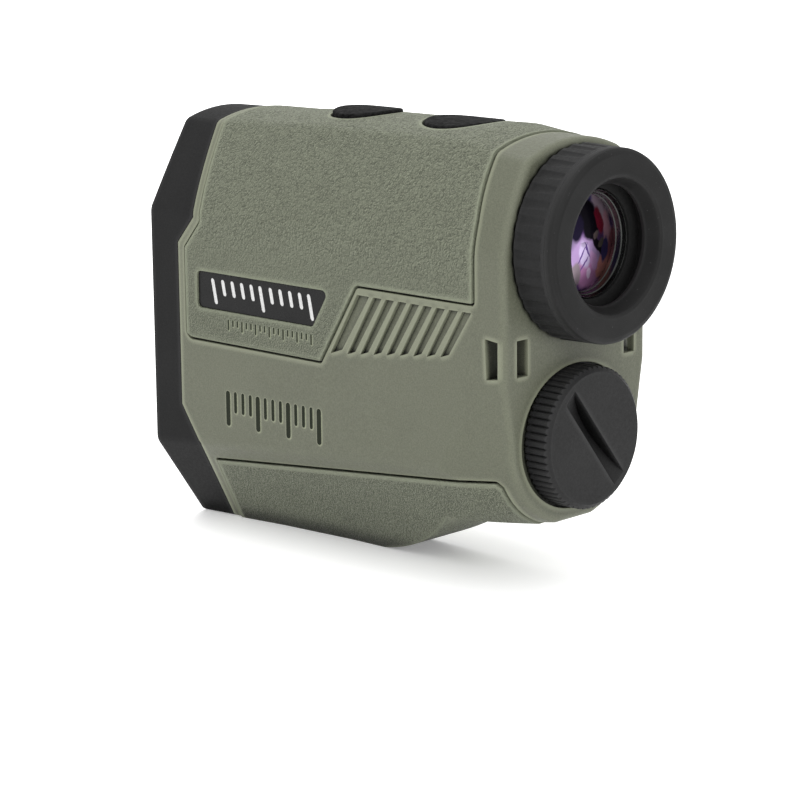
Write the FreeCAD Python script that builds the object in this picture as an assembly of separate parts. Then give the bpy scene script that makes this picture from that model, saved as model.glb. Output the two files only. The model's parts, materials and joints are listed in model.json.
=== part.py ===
"""Monocular laser rangefinder: moulded housing, grip skins, optics, keys, dioptre ring, battery and cap.

Millimetres. +Y points out of the objective, +X to the user's right, +Z up.
The origin is the centre of the bounding box in X and Y, on the flat of the belly in Z.
"""
import FreeCAD, Part
import math
import os

VECTOR = FreeCAD.Vector
ORIGIN = VECTOR(0, 0, 0)

# ---- driving dimensions -------------------------------------------------------------------------
FRONT_Y = 50.0            # front face of the bezel
REAR_Y = -40.7            # rear face of the housing
TAIL_Y = -50.0            # rim of the eyecup
OPTICS_Z = 63.0           # height of the objective and eyepiece axis
LOWER_Z = 27.7            # height of the battery and laser axis
WALL = 2.3                # housing wall
SKIN_DEPTH = 0.9          # depth of the pocket that a grip skin lies in
SKIN_PROUD = 0.3          # how far a grip skin stands proud of the housing
GROOVE = 0.45             # gap between a grip skin and the housing
REAR_EDGE_RADIUS = 1.3    # rounding of the housing's rear edge

# Outer form at stations along Y: half width of the belly's flat, half width of the body, low and high
# end of the vertical side, half width and height of the upper crease, height of the top on the centre
# line, bulge of the upper flank.
STATIONS = (
    (50.0, 8.4, 20.3, 16.7, 62.6, 10.4, 78.9, 80.7, 0.1),
    (41.0, 7.5, 20.25, 17.5, 62.6, 10.5, 79.1, 80.9, 0.3),
    (29.0, 6.1, 20.15, 18.4, 62.2, 10.8, 79.5, 81.0, 1.0),
    (12.0, 5.0, 20.05, 19.6, 62.0, 11.3, 80.4, 82.0, 1.4),
    (-16.0, 4.7, 19.94, 21.85, 62.0, 11.5, 80.5, 82.35, 1.5),
    (-25.5, 4.7, 19.9, 22.6, 62.0, 11.6, 80.5, 82.6, 1.5),
    (-31.5, 4.7, 19.8, 23.2, 62.0, 12.2, 79.6, 81.7, 1.4),
    (-40.7, 4.7, 19.5, 24.5, 62.5, 12.9, 78.7, 81.6, 1.0),
)
EDGE_ROUNDING = 0.9       # how far the rounding of a lengthwise edge reaches along each face

# Side view of the belly: flat from the front, swept up behind, then the underside of the rear.
KEEL_START = (5.0, 0.0)
KEEL_MIDDLE = (-7.0, 3.1)
KEEL_END = (-20.5, 11.6)
REAR_UNDERSIDE_Z = 12.3
REAR_CORNER_RADIUS = 17.0  # lower corners of the rear face
REAR_CORNER_CENTRE = (0.4, 29.0)
REAR_CORNER_START_Y = -20.0
REAR_SHOULDER = (20.0, 44.0)     # x and z where the taper above the lower corners has run out

# Side view (y, z) of the seam between housing and bezel, from the top down.
BEZEL_SEAM = ((40.6, 90.0), (41.0, 78.9), (38.0, 61.9), (42.5, 56.6), (42.5, 24.8), (37.6, 17.6), (41.8, 0.2),
              (41.8, -5.0))
# Side view (y, z) of the upper grip skin: a saddle over the top that ends above the grille.
UPPER_SKIN = ((38.9, 90.0), (39.2, 78.9), (36.3, 61.4), (40.8, 56.0), (40.8, 38.0), (4.1, 37.9), (-5.4, 53.2),
              (-34.0, 53.2), (-34.0, 68.0), (-31.9, 90.0))
UPPER_SKIN_ROUNDING = {2: 1.2, 3: 1.2, 4: 1.9, 5: 0.8, 6: 0.8, 7: 0.7}    # radius at corners, by place
# Side view (y, z) of the lower grip skin: a cradle under the belly.
LOWER_SKIN = ((36.0, 14.6), (40.1, 0.4), (40.1, -5.0), (-38.0, -5.0), (-37.6, 20.4), (-36.6, 21.5))
LOWER_SKIN_ROUNDING = {0: 0.7, 5: 0.7}

# Grille: slanted slots cut into both sides below the upper skin.
SLOT_COUNT = 9
SLOT_PITCH = 3.1
SLOT_WIDTH = 2.05
SLOT_TOP_Z = 51.9
SLOT_LOW_Z = 40.2
SLOT_LOW_RISE = 0.36      # each slot ends this much higher than the one in front of it
SLOT_FIRST_Y = -8.4       # top rear corner of the first slot
SLANT = 0.6               # run along Y for each millimetre of fall
SLOT_DEPTH = 0.75

# Badge plates, one on each side.
BADGE_FRONT_Y = 37.0
BADGE_TOP_REAR_Y = 1.8
BADGE_TOP_Z = 51.7
BADGE_LOW_Z = 44.7
BADGE_THICK = 0.4
BADGE_POCKET = 0.6         # the plate lies a little below the skin
BADGE_CORNER = 0.9

# Strap eyes at the rear corners: a slot in the side meets a slot in the rear face.
STRAP_LOW_Z = 40.7
STRAP_HIGH_Z = 47.3
STRAP_SIDE_REAR_Y = -39.2
STRAP_SIDE_FRONT_Y = -36.3
STRAP_REAR_OUTER_X = 16.1
STRAP_REAR_INNER_X = 13.2

# Keys on the top deck.
MEASURE_KEY = (10.8, 7.0, 6.3, 83.0)    # centre y, half width, half length, height of the crown
MODE_KEY = (-13.9, 7.6, 7.4, 82.9)
KEY_ARCH_RADIUS = 41.0
KEY_GAP = 0.35
KEY_UNDERSIDE_Z = 80.95
KEY_STEM_RADIUS = 1.4
KEY_STEM_LOW_Z = 78.2
KEY_FLOOR_LOW_Z = 78.8
KEY_FLOOR_TOP_Z = 79.9
KEY_MAT = 0.4
SWITCH_TOP_Z = 77.5
SWITCH_HEIGHT = 1.5
BOARD = 1.0               # thickness of every circuit board

# Eyepiece.
RING_RADIUS = 17.65
RING_REAR_Y = -48.0
RING_GAP = 0.3
CUP_RADIUS = 17.45
CUP_MOUTH_RADIUS = 12.0
CUP_THROAT_RADIUS = 10.9
RING_RIBS = 36
SLEEVE_RADIUS = 14.1
SLEEVE_BORE = 12.6
BARREL_RADIUS = 12.55
BARREL_BORE = 9.9
BARREL_REAR_Y = -44.5
BARREL_FRONT_Y = -26.0
EYE_LENS_Y = -41.4

# Battery, its tube and cap. A CR2 cell is 15.6 by 27.
CELL_RADIUS = 7.8
CELL_REAR_Y = -38.05
CELL_LENGTH = 27.0
CAP_RADIUS = 13.0
CAP_FACE_RADIUS = 12.1
CAP_FACE_Y = -45.05
CAP_TEETH = 60
RECESS_HALF_WIDTH = 14.9  # recess round the cap, wider at the sides for the fingers
RECESS_HALF_HEIGHT = 13.3
COUNTERBORE_Y = -39.4
THREAD_RADIUS = 10.0
THREAD_CLEARANCE = 0.05
SLOT_ANGLE = -51.5        # direction of the coin slot in the cap, seen from behind
COIN_SLOT_WIDTH = 3.3
COIN_SLOT_REACH = 10.9
COIN_RADIUS = 20.2

# Front optics.
OBJECTIVE_RADIUS = 10.5
CELL_TUBE_RADIUS = 12.3
EMITTER_RADIUS = 7.5
EMITTER_TUBE_RADIUS = 9.0
EMITTER_APERTURE = 6.9
OBJECTIVE_APERTURE = 9.8
FLARE_FLOOR_Y = 46.4      # where the apertures start to flare out
FRONT_WALL_Y = 45.3       # inner face of the bezel's front wall
HOOD_FLOOR_Y = 48.6       # face of the bezel round the two hoods
HOOD_FRONT_Y = 49.6
HOOD_RADIUS = 13.2
LOWER_HOOD_RADIUS = 10.0
FLARE = 2.0               # how much wider an aperture is at its mouth

# Inside of the housing.
CAVITY_REAR_Y = -38.2
LIP_DEPTH = 1.5           # thickness of the housing lip inside the bezel
LIP_REAR_Y = 36.0
LIP_FRONT_Y = 44.4
SLEEVE_COLLAR_RADIUS = 16.6
THREAD_COLLAR_RADIUS = 13.4
RING_OUTER = 11.6         # outside of the brass thread ring
KEY_POST = (6.0, -3.7)    # x and y of the posts that carry the key board
KEY_POST_RADIUS = 1.8
BOARD_X = 13.6            # inner face of the main board
BOARD_SCREW_Z = 43.0

# Optical chassis and the screws that hold it.
BULKHEAD_FRONT_Y = 38.6
SHELF_LOW_Z = 48.2
SHELF_TOP_Z = 50.2
SHELF_HALF_WIDTH = 11.4
BAY_REAR_Y = -17.0        # bay that holds the prisms
BAY_FRONT_Y = 13.0
BAY_HALF_WIDTH = 8.4
BAY_WALL = 1.5
BAY_TOP_Z = 73.0
PRISM_HALF_WIDTH = 8.2
PRISM_LOW_Z = 54.0
EAR_CENTRES = (-11.0, 14.0)     # y of the ears that carry the main board
BOSS_CENTRES = ((13.6, 44.5), (13.2, 20.0))     # x and z of the bosses in the housing
BOSS_RADIUS = 2.5
BOSS_FRONT_Y = 36.8
BOSS_REAR_Y = 27.0
SCREW_RADIUS = 0.9
SMALL_SCREW_RADIUS = 0.65
SCREW_HOLE_CLEARANCE = 0.05
CROSS_HALF_WIDTH = 0.25   # cross recess in a screw head
CROSS_REACH = 1.2


# ---- helpers ------------------------------------------------------------------------------------
def box(x0, x1, y0, y1, z0, z1):
    return Part.makeBox(x1 - x0, y1 - y0, z1 - z0, VECTOR(x0, y0, z0))


def rod(radius, y0, y1, z, x=0.0):
    """Round bar along Y."""
    return Part.makeCylinder(radius, y1 - y0, VECTOR(x, y0, z), VECTOR(0, 1, 0))


def pin(radius, x, y, z0, z1):
    """Round bar along Z."""
    return Part.makeCylinder(radius, z1 - z0, VECTOR(x, y, z0))


def cross_pin(radius, x0, x1, y):
    """Round bar along X at the height of the main board's screws."""
    return Part.makeCylinder(radius, x1 - x0, VECTOR(x0, y, BOARD_SCREW_Z), VECTOR(1, 0, 0))


def prism_x(outline, x0, x1):
    """Extrude a (y, z) outline from x0 to x1."""
    points = [VECTOR(x0, y, z) for y, z in outline]
    face = Part.Face(Part.makePolygon(points + points[:1]))
    return face.extrude(VECTOR(x1 - x0, 0, 0))


def prism_y(outline, y0, y1):
    """Extrude an (x, z) outline from y0 to y1."""
    points = [VECTOR(x, y0, z) for x, z in outline]
    face = Part.Face(Part.makePolygon(points + points[:1]))
    return face.extrude(VECTOR(0, y1 - y0, 0))


def turned(outline, z):
    """Revolve an (r, y) outline about the axis along Y at height z."""
    points = [VECTOR(r, y, z) for r, y in outline]
    face = Part.Face(Part.makePolygon(points + points[:1]))
    return face.revolve(VECTOR(0, 0, z), VECTOR(0, 1, 0), 360)


def lens(radius, rear_y, front_y, rear_sag, front_sag, z):
    """Lens with spherical faces; rear_y and front_y are its edge planes, and a sag bulges outward."""
    rear_pole = VECTOR(0, rear_y - rear_sag, z)
    front_pole = VECTOR(0, front_y + front_sag, z)
    rear_rim = VECTOR(radius, rear_y, z)
    front_rim = VECTOR(radius, front_y, z)
    edges = [Part.makeLine(front_pole, rear_pole)]
    edges.append(dome_edge(rear_pole, rear_rim, rear_sag, -1, radius, z))
    edges.append(Part.makeLine(rear_rim, front_rim))
    edges.append(dome_edge(front_rim, front_pole, front_sag, 1, radius, z))
    face = Part.Face(Part.Wire(edges))
    return face.revolve(VECTOR(0, 0, z), VECTOR(0, 1, 0), 360)


def dome_edge(start, end, sag, side, radius, z):
    """Arc of a spherical lens face between its pole and its rim."""
    if abs(sag) < 1e-6:
        return Part.makeLine(start, end)
    sphere = (radius * radius + sag * sag) / (2 * abs(sag))
    half = radius / 2
    drop = sphere - math.sqrt(sphere * sphere - half * half)
    pole = start if abs(start.x) < abs(end.x) else end
    middle = VECTOR(half, pole.y - side * math.copysign(drop, sag), z)
    return Part.Arc(start, middle, end).toShape()


def both_sides(shape):
    return [shape, shape.mirror(ORIGIN, VECTOR(1, 0, 0))]


def on_ring(shape, count, z):
    """Copies of a shape spread evenly round the axis along Y at height z."""
    copies = []
    for index in range(count):
        copy = shape.copy()
        copy.rotate(VECTOR(0, 0, z), VECTOR(0, 1, 0), 360.0 * index / count)
        copies.append(copy)
    return copies


# ---- outer form ---------------------------------------------------------------------------------
def moved_corner(before, corner, after, grow):
    """Corner of an outline whose two edges both move outward by grow."""
    normals = []
    for start, end in ((before, corner), (corner, after)):
        length = math.hypot(end[0] - start[0], end[1] - start[1])
        normals.append(((end[1] - start[1]) / length, (start[0] - end[0]) / length))
    spread = 1 + normals[0][0] * normals[1][0] + normals[0][1] * normals[1][1]
    dx = grow * (normals[0][0] + normals[1][0]) / spread
    dz = grow * (normals[0][1] + normals[1][1]) / spread
    return corner[0] + dx, corner[1] + dz


def section(station, grow):
    """Closed outline of the body at one station, moved outward by grow."""
    y, flat, half, low, high, crease_x, crease_z, apex, bulge = station
    right = [(flat, 0.0), (half, low), (half, high), (crease_x, crease_z)]
    chain = [(-flat, 0.0)] + right + [(0.0, apex)]
    corners = []
    for index in range(1, 5):
        corners.append(moved_corner(chain[index - 1], chain[index], chain[index + 1], grow))
    belly, side_low, side_high, crease = corners
    run = math.hypot(crease[0] - side_high[0], crease[1] - side_high[1])
    flank = ((side_high[0] + crease[0]) / 2 + bulge * (crease[1] - side_high[1]) / run,
             (side_high[1] + crease[1]) / 2 + bulge * (side_high[0] - crease[0]) / run)

    def at(point, side=1):
        return VECTOR(side * point[0], y, point[1])

    runs = [Part.LineSegment(at(belly, -1), at(belly)),
            Part.LineSegment(at(belly), at(side_low)),
            Part.LineSegment(at(side_low), at(side_high)),
            Part.Arc(at(side_high), at(flank), at(crease)),
            Part.Arc(at(crease), VECTOR(0, y, apex + grow), at(crease, -1)),
            Part.Arc(at(crease, -1), at(flank, -1), at(side_high, -1)),
            Part.LineSegment(at(side_high, -1), at(side_low, -1)),
            Part.LineSegment(at(side_low, -1), at(belly, -1))]
    return rounded_loop(runs)


def rounded_loop(runs):
    """Closed wire of runs whose shared corners are rounded with tangent curves."""
    shortened = []
    for run in runs:
        start = run.parameterAtDistance(EDGE_ROUNDING, run.FirstParameter)
        end = run.parameterAtDistance(-EDGE_ROUNDING, run.LastParameter)
        shortened.append(run.toShape(start, end))
    edges = []
    for index, edge in enumerate(shortened):
        corner = runs[index].value(runs[index].LastParameter)
        following = shortened[(index + 1) % len(shortened)]
        curve = Part.BezierCurve()
        curve.setPoles([edge.lastVertex().Point, corner, following.firstVertex().Point])
        edges += [edge, curve.toShape()]
    return Part.Wire(edges)


def keel_cutter(grow):
    """Everything below the belly's side view, moved outward (down) by grow."""
    below = -30.0
    start = VECTOR(-40, KEEL_START[0], KEEL_START[1] - grow)
    middle = VECTOR(-40, KEEL_MIDDLE[0] - 0.4 * grow, KEEL_MIDDLE[1] - grow)
    end = VECTOR(-40, KEEL_END[0], KEEL_END[1] - grow)
    tail = VECTOR(-40, REAR_Y - 5, REAR_UNDERSIDE_Z - grow)
    corner = VECTOR(-40, REAR_Y - 5, below)
    foot = VECTOR(-40, KEEL_START[0], below)
    edges = [Part.Arc(start, middle, end).toShape(), Part.makeLine(end, tail), Part.makeLine(tail, corner),
             Part.makeLine(corner, foot), Part.makeLine(foot, start)]
    return Part.Face(Part.Wire(edges)).extrude(VECTOR(80, 0, 0))


def rear_corner_cutters(grow):
    """What lies outside the rounded lower corners; the rounding fades out towards the front."""
    outside = 4.0
    wires = []
    for y, slip in ((REAR_Y - 1, 0.0), (REAR_CORNER_START_Y, 3.6)):
        radius = REAR_CORNER_RADIUS + grow
        centre_x = REAR_CORNER_CENTRE[0] + slip
        centre_z = REAR_CORNER_CENTRE[1] - slip
        low = VECTOR(centre_x, y, centre_z - radius)
        middle = VECTOR(centre_x + radius * math.sqrt(0.5), y, centre_z - radius * math.sqrt(0.5))
        side = VECTOR(centre_x + radius, y, centre_z)
        shoulder = VECTOR(REAR_SHOULDER[0] + grow + slip, y, REAR_SHOULDER[1])
        far = VECTOR(shoulder.x + outside, y, shoulder.z)
        corner = VECTOR(far.x, y, low.z - outside)
        foot = VECTOR(low.x, y, low.z - outside)
        edges = [Part.Arc(low, middle, side).toShape(), Part.makeLine(side, shoulder),
                 Part.makeLine(shoulder, far), Part.makeLine(far, corner), Part.makeLine(corner, foot),
                 Part.makeLine(foot, low)]
        wires.append(Part.Wire(edges))
    return both_sides(Part.makeLoft(wires, True, True))


def form(grow):
    """Whole outer form of the body, moved outward by grow."""
    wires = [section(station, grow) for station in STATIONS]
    return Part.makeLoft(wires, True, True).cut([keel_cutter(grow)] + rear_corner_cutters(grow))


def behind_seam():
    """Side-view region behind the bezel seam."""
    return prism_x(list(BEZEL_SEAM) + [(-60.0, -5.0), (-60.0, 90.0)], -30, 30)


def shell_between(grow_out, grow_in, region):
    """Layer of the outer form inside a region, from grow_out down to grow_in."""
    return form(grow_out).common(region).cut(form(grow_in))


def shrunk(outline, amount):
    """Outline with every corner moved inward; the outline runs clockwise in (y, z)."""
    result = []
    count = len(outline)
    for index in range(count):
        result.append(moved_corner(outline[index - 1], outline[index], outline[(index + 1) % count], amount))
    return result


def skin_region(outline, rounding, margin):
    """Side-view region of a skin, moved inward by margin, with its corners rounded."""
    corners = shrunk(outline, margin)
    solid = prism_x(corners, -30, 30)
    for place, radius in rounding.items():
        before = outline[place - 1]
        here = outline[place]
        after = outline[(place + 1) % len(outline)]
        turn = (here[0] - before[0]) * (after[1] - here[1]) - (here[1] - before[1]) * (after[0] - here[0])
        radius += margin if turn > 0 else -margin
        y, z = corners[place]
        solid = solid.makeFillet(radius, [edge for edge in solid.Edges if runs_along_x(edge, y, z)])
    return solid


def runs_along_x(edge, y, z):
    limits = edge.BoundBox
    return limits.XLength > 1 and math.hypot(limits.YMin - y, limits.ZMin - z) < 1e-5


def rounded_rear(body):
    """Round the edge where the sides and top meet the rear face."""
    edges = []
    for edge in body.Edges:
        limits = edge.BoundBox
        if abs(limits.YMin - REAR_Y) < 1e-3 and abs(limits.YMax - REAR_Y) < 1e-3:
            edges.append(edge)
    return body.makeFillet(REAR_EDGE_RADIUS, edges)


# ---- housing and bezel --------------------------------------------------------------------------


def slab(y0, y1):
    return box(-40, 40, y0, y1, -20, 100)


def key_outline(key, extra):
    """Oval prism of a key, widened by extra."""
    centre_y, half_width, half_length, _ = key
    major = max(half_width, half_length) + extra
    minor = min(half_width, half_length) + extra
    oval = Part.Ellipse(ORIGIN, major, minor).toShape()
    if half_length > half_width:
        oval.rotate(ORIGIN, VECTOR(0, 0, 1), 90)
    oval.translate(VECTOR(0, centre_y, 70))
    return Part.Face(Part.Wire([oval])).extrude(VECTOR(0, 0, 25))


def grille_slots():
    """Slanted slots, cut in both sides."""
    slots = []
    for index in range(SLOT_COUNT):
        top_rear = SLOT_FIRST_Y - index * SLOT_PITCH
        width = SLOT_WIDTH + (1.0 if index == 0 else 0.0)
        low_z = SLOT_LOW_Z + index * SLOT_LOW_RISE
        fall = (SLOT_TOP_Z - low_z) * SLANT
        outline = [(top_rear, SLOT_TOP_Z), (top_rear + width, SLOT_TOP_Z), (top_rear + width + fall, low_z),
                   (top_rear + fall, low_z + 0.35 * width)]
        slots += both_sides(prism_x(outline, -22.0, SLOT_DEPTH - 19.95))
    return slots


def strap_eyes():
    """Slot in each side and slot in the rear face, joined behind a bar at the corner."""
    cuts = []
    taper = 0.35
    outline = [(STRAP_SIDE_REAR_Y, STRAP_LOW_Z), (STRAP_SIDE_REAR_Y, STRAP_HIGH_Z),
               (STRAP_SIDE_FRONT_Y, STRAP_HIGH_Z + taper), (STRAP_SIDE_FRONT_Y - taper, STRAP_LOW_Z - taper)]
    side = prism_x(outline, -22.0, -STRAP_REAR_INNER_X)
    rear = box(-STRAP_REAR_OUTER_X, -STRAP_REAR_INNER_X, REAR_Y - 1, STRAP_SIDE_REAR_Y + 0.5,
               STRAP_LOW_Z, STRAP_HIGH_Z)
    for shape in (side, rear):
        cuts += both_sides(shape)
    return cuts


def cap_recess():
    """Oval recess round the battery cap."""
    oval = Part.Ellipse(ORIGIN, RECESS_HALF_WIDTH, RECESS_HALF_HEIGHT).toShape()
    oval.rotate(ORIGIN, VECTOR(1, 0, 0), 90)
    oval.translate(VECTOR(0, REAR_Y - 5, LOWER_Z))
    return Part.Face(Part.Wire([oval])).extrude(VECTOR(0, COUNTERBORE_Y - REAR_Y + 5, 0))


def badge_form(margin, x0, x1):
    """Badge between x0 and x1: upright at the front, slanted at the rear, with round corners."""
    low_rear = BADGE_TOP_REAR_Y + SLANT * (BADGE_TOP_Z - BADGE_LOW_Z)
    outline = [(BADGE_FRONT_Y, BADGE_TOP_Z), (BADGE_FRONT_Y, BADGE_LOW_Z), (low_rear, BADGE_LOW_Z),
               (BADGE_TOP_REAR_Y, BADGE_TOP_Z)]
    block = prism_x(shrunk(outline, margin), x0, x1)
    corners = [edge for edge in block.Edges if abs(edge.Length - (x1 - x0)) < 1e-6]
    return block.makeFillet(BADGE_CORNER - margin, corners)


def main_housing():
    outside = rounded_rear(form(0.0)).common(behind_seam())
    lip = form(-WALL).common(slab(LIP_REAR_Y, LIP_FRONT_Y))
    body = outside.fuse(lip)
    hollow = form(-WALL).common(slab(CAVITY_REAR_Y, LIP_REAR_Y))
    front_hollow = form(-WALL - LIP_DEPTH).common(slab(LIP_REAR_Y - 0.1, FRONT_Y))
    body = body.cut([hollow, front_hollow])
    additions = []
    # floor under the two keys
    floor = box(-11.0, 11.0, MODE_KEY[0] - MODE_KEY[2] - 2, MEASURE_KEY[0] + MEASURE_KEY[2] + 2,
                KEY_FLOOR_LOW_Z, 81.0)
    additions.append(floor.common(form(-1.0)))
    # collars round the eyepiece sleeve and the battery thread ring
    additions.append(rod(SLEEVE_COLLAR_RADIUS, REAR_Y + 0.2, -34.0, OPTICS_Z))
    additions.append(rod(THREAD_COLLAR_RADIUS, REAR_Y + 0.2, -34.5, LOWER_Z))
    # posts for the key board
    post_low_z = SWITCH_TOP_Z - SWITCH_HEIGHT
    additions += both_sides(pin(KEY_POST_RADIUS, KEY_POST[0], KEY_POST[1], post_low_z, 80.0))
    # blocks behind the strap eyes
    strap_block = box(-19.0, -11.4, CAVITY_REAR_Y - 1, -34.3, STRAP_LOW_Z - 2.4, STRAP_HIGH_Z + 2.4)
    additions += both_sides(strap_block)
    # screw bosses for the optical chassis
    for x, z in BOSS_CENTRES:
        post = rod(BOSS_RADIUS, BOSS_REAR_Y, BOSS_FRONT_Y, z, x)
        web = box(x, x + 6.0, BOSS_REAR_Y, BOSS_FRONT_Y, z - 1.2, z + 1.2)
        additions += both_sides(post.fuse(web))
    trimmed = form(-0.6).common(slab(REAR_Y + 0.1, BOSS_FRONT_Y))
    additions = [addition.common(trimmed) for addition in additions]
    body = body.multiFuse(additions)
    cuts = [rod(SLEEVE_RADIUS + 0.05, REAR_Y - 5, 0.0, OPTICS_Z),
            cap_recess(),
            rod(RING_OUTER, REAR_Y - 5, -30.0, LOWER_Z)]
    for x, z in BOSS_CENTRES:
        cuts += both_sides(rod(SCREW_RADIUS, BOSS_REAR_Y + 2, BOSS_FRONT_Y + 1, z, x))
    pilot = SMALL_SCREW_RADIUS + SCREW_HOLE_CLEARANCE
    cuts += both_sides(pin(pilot, KEY_POST[0], KEY_POST[1], 75, 78.5))
    for key in (MEASURE_KEY, MODE_KEY):
        cuts.append(key_outline(key, KEY_GAP).common(box(-20, 20, -40, 40, KEY_FLOOR_TOP_Z, 95)))
        cuts.append(pin(KEY_STEM_RADIUS + 0.25, 0, key[0], 75, 85))
    cuts.append(shell_between(2.0, -SKIN_DEPTH, skin_region(UPPER_SKIN, UPPER_SKIN_ROUNDING, 0.0)))
    cuts.append(shell_between(2.0, -SKIN_DEPTH, skin_region(LOWER_SKIN, LOWER_SKIN_ROUNDING, 0.0)))
    cuts += grille_slots()
    cuts += strap_eyes()
    return body.cut(cuts).removeSplitter()


def upper_grip_skin():
    skin = shell_between(SKIN_PROUD, -SKIN_DEPTH, skin_region(UPPER_SKIN, UPPER_SKIN_ROUNDING, GROOVE))
    cuts = [key_outline(key, KEY_GAP) for key in (MEASURE_KEY, MODE_KEY)]
    cuts += both_sides(badge_form(-0.08, -25.0, BADGE_POCKET - 20.05 - SKIN_PROUD))
    cuts += bevels((UPPER_SKIN[4], UPPER_SKIN[5]), (UPPER_SKIN[6], UPPER_SKIN[7]))
    return skin.cut(cuts)


def bevels(*runs):
    """Wedges that bevel the lower edges of the upper skin along level runs of its outline."""
    wedges = []
    for front, rear in runs:
        low_z = front[1] + GROOVE
        outline = [(-21.5, low_z - 1.0), (-21.5, low_z + 2.4), (-19.55, low_z - 1.0)]
        wedges += both_sides(prism_y(outline, rear[0] - 0.2, front[0] - 0.3))
    return wedges


def lower_grip_skin():
    """Cradle under the belly, ground flush with the bezel where the body stands."""
    skin = shell_between(SKIN_PROUD, -SKIN_DEPTH, skin_region(LOWER_SKIN, LOWER_SKIN_ROUNDING, GROOVE))
    return skin.cut(box(-30, 30, -60, 60, -5, 0))


def front_bezel():
    seam_gap = 0.15
    seam = [(y + seam_gap, z) for y, z in BEZEL_SEAM]
    region = prism_x(seam + [(60.0, -5.0), (60.0, 90.0)], -30, 30)
    body = form(0.0).common(region)
    cuts = [form(0.05 - WALL).common(slab(LIP_REAR_Y - 2, FRONT_WALL_Y)),
            form(-2.0).common(slab(HOOD_FLOOR_Y, FRONT_Y + 1))]
    body = body.cut(cuts)
    hoods = [rod(HOOD_RADIUS, FRONT_WALL_Y, HOOD_FRONT_Y, OPTICS_Z),
             rod(LOWER_HOOD_RADIUS, FRONT_WALL_Y, HOOD_FRONT_Y, LOWER_Z)]
    body = body.multiFuse(hoods)
    inner_y = FRONT_WALL_Y - 1
    apertures = []
    for radius, height in ((OBJECTIVE_APERTURE, OPTICS_Z), (EMITTER_APERTURE, LOWER_Z)):
        mouth = radius + FLARE
        outline = [(0, inner_y), (radius, inner_y), (radius, FLARE_FLOOR_Y), (mouth, HOOD_FRONT_Y),
                   (mouth, FRONT_Y + 5), (0, FRONT_Y + 5)]
        apertures.append(turned(outline, height))
    return body.cut(apertures)


def bezel_gasket():
    ring = form(-WALL - 0.05).common(slab(LIP_FRONT_Y, FRONT_WALL_Y))
    return ring.cut(form(-WALL - LIP_DEPTH))


def badge_plate(side):
    face_x = 20.05 + SKIN_PROUD
    low_x = face_x - BADGE_POCKET
    plate = badge_form(0.0, low_x, low_x + BADGE_THICK)
    return plate if side > 0 else plate.mirror(ORIGIN, VECTOR(1, 0, 0))


# ---- optics -------------------------------------------------------------------------------------
def optical_chassis():
    """Front bulkhead, a shelf with walls round the prisms, and ears for the main board."""
    bulkhead = form(-WALL - LIP_DEPTH - 0.3).common(slab(BOSS_FRONT_Y, BULKHEAD_FRONT_Y))
    parts = [box(-SHELF_HALF_WIDTH, SHELF_HALF_WIDTH, BAY_REAR_Y, BOSS_FRONT_Y, SHELF_LOW_Z, SHELF_TOP_Z)]
    outside = BAY_HALF_WIDTH + BAY_WALL
    root_z = SHELF_TOP_Z - 0.5
    parts += both_sides(box(BAY_HALF_WIDTH, outside, BAY_REAR_Y, BAY_FRONT_Y, root_z, BAY_TOP_Z))
    parts.append(box(-outside, outside, BAY_REAR_Y, BAY_REAR_Y + 2, root_z, BAY_TOP_Z + 1))
    for y in EAR_CENTRES:
        parts.append(box(SHELF_HALF_WIDTH - 2, BOARD_X, y - 3, y + 3, 39, SHELF_TOP_Z))
    body = bulkhead.multiFuse(parts)
    cuts = [rod(CELL_TUBE_RADIUS + 0.05, 12, 50, OPTICS_Z), rod(8.0, -20, -10, OPTICS_Z),
            rod(EMITTER_TUBE_RADIUS + 0.05, 20, 50, LOWER_Z)]
    for x, z in BOSS_CENTRES:
        cuts += both_sides(rod(SCREW_RADIUS + 0.1, BOSS_FRONT_Y - 1, BULKHEAD_FRONT_Y + 1, z, x))
    for y in EAR_CENTRES:
        cuts.append(cross_pin(SMALL_SCREW_RADIUS + SCREW_HOLE_CLEARANCE, BOARD_X - 4, BOARD_X + 2, y))
    return body.cut(cuts).removeSplitter()


def objective_cell():
    """Tube from the prisms to the front wall, with a seat for the objective."""
    outline = [(CELL_TUBE_RADIUS, 16), (CELL_TUBE_RADIUS, 45.2), (10.55, 45.2), (10.55, 37.4),
               (9.4, 37.4), (9.4, 18), (8.4, 16)]
    return turned(outline, OPTICS_Z)


def objective_lens():
    return lens(OBJECTIVE_RADIUS, 37.4, 42.4, -0.4, 1.9, OPTICS_Z)


def objective_retainer():
    return turned([(10.5, 42.8), (10.5, 44.8), (10.15, 45.0), (9.8, 44.6), (9.8, 42.8)], OPTICS_Z)


def emitter_tube():
    radius = EMITTER_TUBE_RADIUS
    outline = [(radius, 12), (radius, 45.2), (7.55, 45.2), (7.55, 38), (6.4, 38), (6.4, 13.5),
               (2.85, 13.5), (2.85, 12)]
    return turned(outline, LOWER_Z)


def emitter_lens():
    return lens(EMITTER_RADIUS, 38, 41.5, 0.0, 1.5, LOWER_Z)


def emitter_retainer():
    return turned([(7.5, 41.9), (7.5, 44.8), (7.2, 45.0), (6.9, 44.6), (6.9, 41.9)], LOWER_Z)


def laser_diode():
    return rod(4.0, 11.2, 12.0, LOWER_Z).fuse(rod(2.8, 12.0, 14.5, LOWER_Z))


def prism_front():
    outline = [(12.0, PRISM_LOW_Z), (12.0, 71.4), (3.0, 71.4), (-5.0, PRISM_LOW_Z)]
    return prism_x(outline, -PRISM_HALF_WIDTH, PRISM_HALF_WIDTH)


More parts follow.
